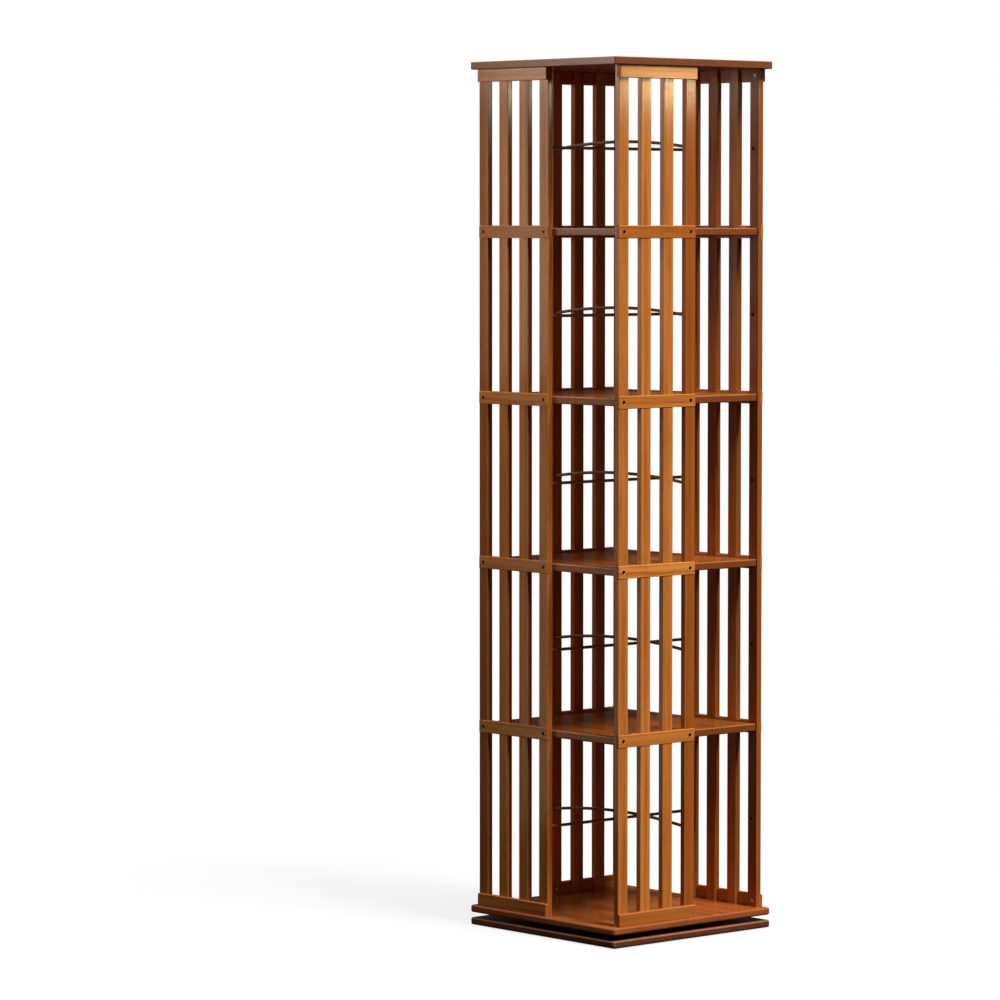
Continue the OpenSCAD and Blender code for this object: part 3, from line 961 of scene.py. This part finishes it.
def slat_drilling():
    """Screw holes and rod sockets of an end slat."""
    rail_screws = [rail_screw_at(slat_middle, level) for level in rail_levels]
    back_screws = [back_screw_at(slat_middle, height) for height in (foot_rail_middle, head_rail_middle)]
    sockets = [placed(bore(ROD_RADIUS + ROD_PLAY, -PAST, SOCKET_DEPTH), back_screw_at(socket_x, height))
               for height in rod_heights]
    return holes(rail_screws, rail_screw_length) + holes(back_screws, back_screw_length) + sockets


def slat_sample(name, drilled):
    """A slat of the front panel, at the first place."""
    slat = as_piece(name, eased_bar(slat_low, slat_high, EDGE_EASE, Z))
    cut(slat, *slat_notches())
    if drilled:
        cut(slat, *slat_drilling())
    return mark_wood(slat, X, Z, EDGE_EASE)


end_slat = slat_sample("end_slat", True)
plain_slat = slat_sample("plain_slat", False)
plain_slat.data.transform(Matrix.Translation((slat_step, 0, 0)))
print("slat samples:", len(end_slat.data.polygons), "and", len(plain_slat.data.polygons), "faces")


# %% Copying, joining and handing over
def on_side(name, sample, turn, finish, seed, **layout):
    """A copy of a front sample, set out and turned onto one of the four faces."""
    piece = into_scene(name, sample.data.copy())
    return set_out(piece, finish, first_turn=turn * QUARTER, seed=seed, **layout)


def join(name, *pieces):
    """Several pieces as one mesh."""
    with bpy.context.temp_override(active_object=pieces[0], object=pieces[0],
                                   selected_objects=pieces, selected_editable_objects=pieces):
        bpy.ops.object.join()
    pieces[0].name = name
    pieces[0].data.name = name
    return pieces[0]


def hand_over(piece, body, slot, *nodes):
    """The finished piece rides on its body and stands for its CAD nodes, which it hides; slot is not used."""
    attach(piece, body)
    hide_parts(*nodes)
    print(piece.name, "faces:", len(piece.data.polygons), "for", len(nodes), "nodes")


def put_away(*samples):
    """Samples go once their copies are made."""
    for sample in samples:
        bpy.data.objects.remove(sample)


# %% Slats of the four panels
# These seeds set each copy's shade; the front panel's inner slats come out paler, as painted light low on
# that face.
END_SEEDS = (22, 13, 649, 29)
INNER_SEEDS = (245, 14, 37, 21)
end_slats = (2, ((slat_count - 1) * slat_step, 0, 0))
inner_slats = (slat_count - 2, (slat_step, 0, 0))
for turn, side in enumerate(SIDES):
    ends = on_side("ends", end_slat, turn, slat_wood, END_SEEDS[turn], across=end_slats)
    inner = on_side("inner", plain_slat, turn, slat_wood, INNER_SEEDS[turn], across=inner_slats)
    slats = join(f"{side}_slats", ends, inner)
    hand_over(slats, "tower", "slat_wood", *[f"{side}_slat_{i + 1}" for i in range(slat_count)])
put_away(end_slat, plain_slat)

# %% [markdown]
# ## The rails
#
# A rail crosses its panel at the edge of a shelf. It is notched from behind, so that slat and rail lock
# into each other, and it stands a hair proud of the slats. Two screws go through it and the end slats into
# the shelf. The rails at the head and the foot are not let in as deep and stand further out. Each starts as
# an eased bar and is sawn and drilled like a real one, so its edges stay crisp where the cutters met it.


# %% Rails at the shelves
def rail_sample():
    """The lowest shelf rail of the front panel."""
    rail = as_piece("rail", eased_bar(rail_low, rail_high, EDGE_EASE, X, ends=True))
    lap = slat_width / 2 + LAP_PLAY
    lap_front = slat_low.y + LAP_DEPTH - LAP_PLAY
    centres = [slat_middle + i * slat_step for i in range(slat_count)]
    cut(rail, *[box_between((x - lap, lap_front, rail_low.z - PAST),
                            (x + lap, rail_high.y + PAST, rail_high.z + PAST)) for x in centres])
    cut(rail, *holes([rail_screw_at(x, rail_middle) for x in end_slat_xs], rail_screw_length))
    return mark_wood(rail, Z, X, EDGE_EASE)


RAIL_SEEDS = (328, 643, 0, 14)
every_tier = (rail_count, (0, 0, tier_step))
rail = rail_sample()
for turn, side in enumerate(SIDES):
    rails = on_side(f"{side}_rails", rail, turn, rail_wood, RAIL_SEEDS[turn], up=every_tier)
    hand_over(rails, "tower", "rail_wood", *[f"{side}_rail_{i + 1}" for i in range(rail_count)])
put_away(rail)


# %% Rails at the head and the foot
def end_rail_sample(low, high, board_face, way):
    """A head or foot rail, screwed from behind through the end slats and through the board beside it."""
    rail = as_piece("end_rail", eased_bar(low, high, EDGE_EASE, X, ends=True))
    back_screws = [back_screw_at(x, (low.z + high.z) / 2) for x in end_slat_xs]
    board_screws = [board_screw_at(x, board_face, way) for x in board_screw_xs]
    cut(rail, *holes(back_screws, back_screw_length), *holes(board_screws, board_screw_length))
    return mark_wood(rail, Z, X, EDGE_EASE)


# The front seed makes the front foot rail pale, as painted light low on that face.
FOOT_SEEDS = (328, 133, 32, 31)
HEAD_SEEDS = (40, 77, 42, 43)
foot_rail = end_rail_sample(foot_rail_low, foot_rail_high, bottom_low.z, 1)
head_rail = end_rail_sample(head_rail_low, head_rail_high, top_high.z, -1)
for turn, side in enumerate(SIDES):
    foot = on_side("foot", foot_rail, turn, rail_wood, FOOT_SEEDS[turn])
    head = on_side("head", head_rail, turn, rail_wood, HEAD_SEEDS[turn])
    end_rails = join(f"{side}_end_rails", foot, head)
    hand_over(end_rails, "tower", "rail_wood", f"{side}_bottom_rail", f"{side}_top_rail")
put_away(foot_rail, head_rail)

# %% [markdown]
# ## Shelves and boards
#
# The four shelves fit between the panels, with lightly eased edges. The top board, the bottom shelf and the
# base board reach past the panels, and the two lower ones have a full roll on their edges that catches the
# light. A bevelled box would give corners and edges the same radius; a stack of outlines keeps the two
# apart. The fibres run from side to side, so the right-hand edges are end grain and look darker.

# %% Shelves
SHELF_EASE = 2 * MM
SHELF_SEED = 50


def on_each_side(*places):
    """Matrices of the front face, repeated on all four faces."""
    return [Matrix.Rotation(QUARTER * turn, 4, "Z") @ place for turn in range(len(SIDES)) for place in places]


shelf_screw_places = on_each_side(*[rail_screw_at(x, rail_middle) for x in end_slat_xs])
shelves = as_piece("shelves", rolled_board(shelf_low, shelf_high, SHELF_EASE, SHELF_EASE))
cut(shelves, *holes(shelf_screw_places, rail_screw_length))
mark_wood(shelves, Y, X, SHELF_EASE)
set_out(shelves, shelf_wood, up=every_tier, seed=SHELF_SEED)
hand_over(shelves, "tower", "shelf_wood", *[f"shelf_{i + 1}" for i in range(rail_count)])

# %% Screws in the large boards
BEARING_BITE = 7 * MM
RING_WIDTH = 14 * MM
outer_low, outer_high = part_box("bearing_outer_ring")
inner_low, inner_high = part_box("bearing_inner_ring")
bearing_screw_length = outer_high.z - outer_low.z + BEARING_BITE
inner_screw_reach = inner_high.x - RING_WIDTH / 2


def bearing_places(reach, height, way):
    """Screws of a bearing ring, half way between the faces."""
    half_turn = Matrix.Rotation(QUARTER / 2, 4, "Z")
    return on_each_side(half_turn @ driven((reach, 0, height), (0, 0, way)))


top_screw_places = on_each_side(*[board_screw_at(x, top_high.z, -1) for x in board_screw_xs])
bottom_screw_places = on_each_side(*[board_screw_at(x, bottom_low.z, 1) for x in board_screw_xs])
outer_ring_places = bearing_places(outer_high.x - RING_WIDTH / 2, outer_high.z, -1)
inner_ring_places = bearing_places(inner_screw_reach, inner_low.z, 1)
print("bearing screws:", in_mm(bearing_screw_length), "mm long")

# %% Top board, bottom shelf and base board
TOP_EASE = 1.5 * MM
LOW_ROLL = 3.5 * MM
CORNER_ROUND = 4 * MM
ACCESS_RADIUS = 8 * MM
TOP_SEED, BOTTOM_SEED, BASE_SEED = 60, 61, 62


def board(name, low, high, roll, finish, seed, *cuts):
    """A large square board with its holes and its finish."""
    piece = cut(as_piece(name, rolled_board(low, high, CORNER_ROUND, roll)), *cuts)
    return set_out(mark_wood(piece, Y, X, roll), finish, seed=seed)


top = board("top_panel", top_low, top_high, TOP_EASE, top_wood, TOP_SEED,
            *holes(top_screw_places, board_screw_length))
hand_over(top, "tower", "top_wood", "top_board")
bottom = board("bottom_panel", bottom_low, bottom_high, LOW_ROLL, low_shelf_wood, BOTTOM_SEED,
               *holes(bottom_screw_places, board_screw_length),
               *holes(inner_ring_places, bearing_screw_length))
hand_over(bottom, "tower", "shelf_wood", "bottom_shelf")
access = placed(bore(ACCESS_RADIUS, base_low.z - PAST, base_high.z + PAST),
                Matrix.Translation((inner_screw_reach, 0, 0)))
base = board("base_panel", base_low, base_high, LOW_ROLL, base_wood, BASE_SEED,
             *holes(outer_ring_places, bearing_screw_length), access)
hand_over(base, "base", "base_wood", "base_board")

# %% [markdown]
# ## The rods
#
# Two thin dark rods cross in every tier. One runs straight from front to back. The other bows over it, from
# the left panel to the right one, and bends far enough to clear it. A tree draws both: a curve between two
# points, pulled up by a third, a round section swept along it, and one copy for each tier. The lowest tier
# is taller than the rest, so the lowest rod has a height of its own. A bent cylinder would do as well, but
# the curve takes its reach and its bow straight from two numbers.

# %% Rods swept along curves
ROD_SECTION = 16
ROD_LENGTHWISE = 40
ROD_SEED = 7
ROD_INPUTS = {
    "Reach": "Float", "Bow": "Float", "Radius": "Float", "First Height": "Float", "Second Height": "Float",
    "Step": "Float", "Upper Count": "Int", "Turn": "Float", "Finish": "Material",
}


def rod_tree():
    """A rod along X with a bow in it, repeated at every tier and turned about the upright axis."""
    tree, given = tree_with("tier_rods", ROD_INPUTS)
    line = wire(tree, "GeometryNodeCurveQuadraticBezier", {
        "Resolution": ROD_LENGTHWISE,
        "Start": vector(tree, x=calc(tree, "MULTIPLY", given["Reach"], -1.0)),
        "Middle": vector(tree, z=calc(tree, "MULTIPLY", given["Bow"], 2.0)),
        "End": vector(tree, x=given["Reach"]),
    })
    section = wire(tree, "GeometryNodeCurvePrimitiveCircle",
                   {"Resolution": ROD_SECTION, "Radius": given["Radius"]})
    rod = wire(tree, "GeometryNodeCurveToMesh",
               {"Curve": line, "Profile Curve": section, "Fill Caps": True})
    spot = add_node(tree, "ShaderNodeSeparateXYZ", {0: wire(tree, "GeometryNodeInputPosition")}).outputs
    grained = wire(tree, "GeometryNodeStoreNamedAttribute",
                   {"Geometry": rod, "Name": "grain", "Value": vector(tree, spot[Z], spot[Y], spot[X])},
                   domain="POINT", data_type="FLOAT_VECTOR")
    smooth = wire(tree, "GeometryNodeSetShadeSmooth", {"Geometry": grained})
    number = wire(tree, "GeometryNodeInputIndex")
    height = calc(tree, "ADD", given["Second Height"], calc(tree, "MULTIPLY", number, given["Step"]))
    places = add_node(tree, "GeometryNodeJoinGeometry")
    for count, level in ((1, given["First Height"]), (given["Upper Count"], height)):
        points = wire(tree, "GeometryNodePoints", {"Count": count, "Position": vector(tree, z=level)})
        tree.links.new(points, places.inputs[0])
    return deal_out(tree, smooth, places.outputs[0], given["Turn"], ROD_SEED, given["Finish"])


tier_rods = rod_tree()
print("tree:", tier_rods.name, "with inputs", list(ROD_INPUTS))

# %% The two sets of rods
ROD_CROSS_GAP = 6 * MM
rod_bow = 2 * ROD_RADIUS + ROD_CROSS_GAP
rod_reach = -slat_high.y + SOCKET_DEPTH - ROD_PLAY


def rods(name, bow, turn, node):
    """The five rods that run one way."""
    piece = grow(as_piece(name), tier_rods, {
        "Reach": rod_reach, "Bow": bow, "Radius": ROD_RADIUS, "First Height": rod_heights[0],
        "Second Height": rod_heights[1], "Step": tier_step, "Upper Count": len(rod_heights) - 1,
        "Turn": turn, "Finish": rod_wood,
    })
    hand_over(piece, "tower", "rod_wood", node)


rods("straight_tier_rods", 0.0, QUARTER, "straight_rods")
rods("bowed_tier_rods", rod_bow, 0.0, "bowed_rods")

# %% [markdown]
# ## Driving the screws
#
# Each kind of screw is one sample, set out by the same tree that set out the slats and the rails. They are
# driven last, into holes that are already there, so a screw that sat wrong would show at once.


# %% All the screws
def screw_set(name, length, place, finish, **layout):
    """One screw at its place, copied along the face and onto all four faces."""
    return set_out(wood_screw(name, length, place), finish, turns=len(SIDES), **layout)


both_ends = (2, (last_slat_middle - slat_middle, 0, 0))
foot_and_head = (2, (0, 0, head_rail_middle - foot_rail_middle))
both_board_screws = (2, (board_screw_xs[1] - board_screw_xs[0], 0, 0))

screws = screw_set("rail_screw_set", rail_screw_length, shelf_screw_places[0], black_steel,
                   across=both_ends, up=every_tier)
hand_over(screws, "tower", "dark_screw", "rail_screws")
screws = screw_set("back_screw_set", back_screw_length, back_screw_at(slat_middle, foot_rail_middle),
                   zinc_steel, across=both_ends, up=foot_and_head)
hand_over(screws, "tower", "bright_screw", "back_screws")
over = screw_set("over", board_screw_length, top_screw_places[0], black_steel, across=both_board_screws)
under = screw_set("under", board_screw_length, bottom_screw_places[0], black_steel, across=both_board_screws)
hand_over(join("board_screw_set", over, under), "tower", "dark_screw", "board_screws")
screws = screw_set("base_ring_screws", bearing_screw_length, outer_ring_places[0], zinc_steel)
hand_over(screws, "base", "bright_screw", "bearing_base_screws")
screws = screw_set("shelf_ring_screws", bearing_screw_length, inner_ring_places[0], zinc_steel)
hand_over(screws, "tower", "bright_screw", "bearing_shelf_screws")

# %% [markdown]
# ## The turntable bearing
#
# The gap over the base hides a flat ball bearing. Each ring is an aluminium bar bent to a circle, with
# half of the ball groove pressed into its side: the outer one is screwed to the base, the inner one to the
# bottom shelf. The rings are coloured near black, as painted shade that keeps the gap dark. Steel balls
# run between them, and a nylon strip with a pocket for each keeps them apart. Rings and balls are turned
# from their sections, which keeps them truly round. The strip is good as the frame has it, so it only
# gets its material.

# %% Bearing rings
GROOVE_PLAY = 0.08 * MM
GROOVE_STEPS = 10
RING_EASE = 0.4 * MM
RING_STEPS = 144
ball_low, ball_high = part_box("bearing_balls")
ball_radius = (ball_high.z - ball_low.z) / 2
race_height = (ball_high.z + ball_low.z) / 2
race_radius = ball_high.x - ball_radius
groove_radius = ball_radius + GROOVE_PLAY


def ring_profile(near, far, low, high):
    """Section of a ring, from the radius of its grooved side to that of its plain side."""
    way = 1 if far > near else -1
    out = way * RING_EASE
    opening = math.acos(abs(near - race_radius) / groove_radius)
    angles = [opening * (2 * i / GROOVE_STEPS - 1) for i in range(GROOVE_STEPS + 1)]
    groove = [(race_radius + way * groove_radius * math.cos(a), race_height + groove_radius * math.sin(a))
              for a in angles]
    return [(far, low + RING_EASE), (far - out, low), (near + out, low), (near, low + RING_EASE), *groove,
            (near, high - RING_EASE), (near + out, high), (far - out, high), (far, high - RING_EASE)]


def bearing_ring(name, near, far, low, high, screw_places, body, node):
    """A turned and drilled ring, finished and handed over."""
    ring = as_piece(name, turned(ring_profile(near, far, low, high), RING_STEPS, closed=True))
    shade_smooth(cut(ring, *holes(screw_places, bearing_screw_length)))
    hand_over(set_out(ring, aluminium), body, "bearing_aluminium", node)


# The rings' near-black colour is painted shade, which keeps the gap over the base dark.
aluminium = speckled("aluminium_dark_as_painted_shade", (0.075, 0.074, 0.073), (0.12, 0.118, 0.115), 0.38, 1.2 * MM)
bearing_ring("outer_race", outer_high.x - RING_WIDTH, outer_high.x, outer_low.z, outer_high.z,
             outer_ring_places, "base", "bearing_outer_ring")
bearing_ring("inner_race", inner_high.x, inner_high.x - RING_WIDTH, inner_low.z, inner_high.z,
             inner_ring_places, "tower", "bearing_inner_ring")

# %% Balls and their strip
BALL_COUNT = 36
BALL_STEPS = 16
ball_steel = speckled("ball_steel", (0.62, 0.62, 0.63), (0.68, 0.68, 0.69), 0.16, 0.8 * MM)
half_circle = [math.pi * (i / BALL_STEPS - 0.5) for i in range(1, BALL_STEPS)]
ball_arc = [(ball_radius * math.cos(a), ball_radius * math.sin(a)) for a in half_circle]
ball = turned([(0, -ball_radius), *ball_arc, (0, ball_radius)], 2 * BALL_STEPS)
balls = as_piece("bearing_ball_set", placed(ball, Matrix.Translation((race_radius, 0, race_height))))
set_out(shade_smooth(balls), ball_steel, turns=BALL_COUNT)
hand_over(balls, "ball_cage", "bearing_steel", "bearing_balls")

DULL = {"metallic": 0.0, "detail": 5.0, "shine_range": 0.2}
nylon = speckled("strip_nylon", (0.66, 0.63, 0.56), (0.74, 0.71, 0.64), 0.45, 2.5 * MM, depth=0.02 * MM,
                 **DULL)
strip_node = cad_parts["bearing_cage"]
strip_node.data.materials.clear()
strip_node.data.materials.append(nylon)
print("balls:", BALL_COUNT, "of", in_mm(2 * ball_radius), "mm")

# %% [markdown]
# Four thin felt pads lift the base off the floor and keep it from scratching. Felt is a mat of fibres, so
# it is dull, uneven in shade, and rough in relief. A pad is turned like the other round pieces, with a
# small ease where it meets the floor, and gets the same kind of spots as the metals, only dull and deeper.

# %% Felt pads
PAD_RADIUS = 15 * MM
PAD_EASE = 0.3 * MM
PAD_STEPS = 48
pad_low, pad_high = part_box("base_feet")
felt = speckled("pad_felt", (0.020, 0.015, 0.011), (0.055, 0.043, 0.034), 0.9, 0.7 * MM, depth=0.25 * MM,
                **DULL)
pad_profile = [(0, pad_low.z), (PAD_RADIUS - PAD_EASE, pad_low.z), (PAD_RADIUS, pad_low.z + PAD_EASE),
               (PAD_RADIUS, pad_high.z), (0, pad_high.z)]
pad_place = Matrix.Translation((pad_high.x - PAD_RADIUS, pad_high.y - PAD_RADIUS, 0))
pads = shade_smooth(as_piece("felt_pads", placed(turned(pad_profile, PAD_STEPS), pad_place)))
hand_over(set_out(pads, felt, turns=len(SIDES)), "base", "foot_pad", "base_feet")
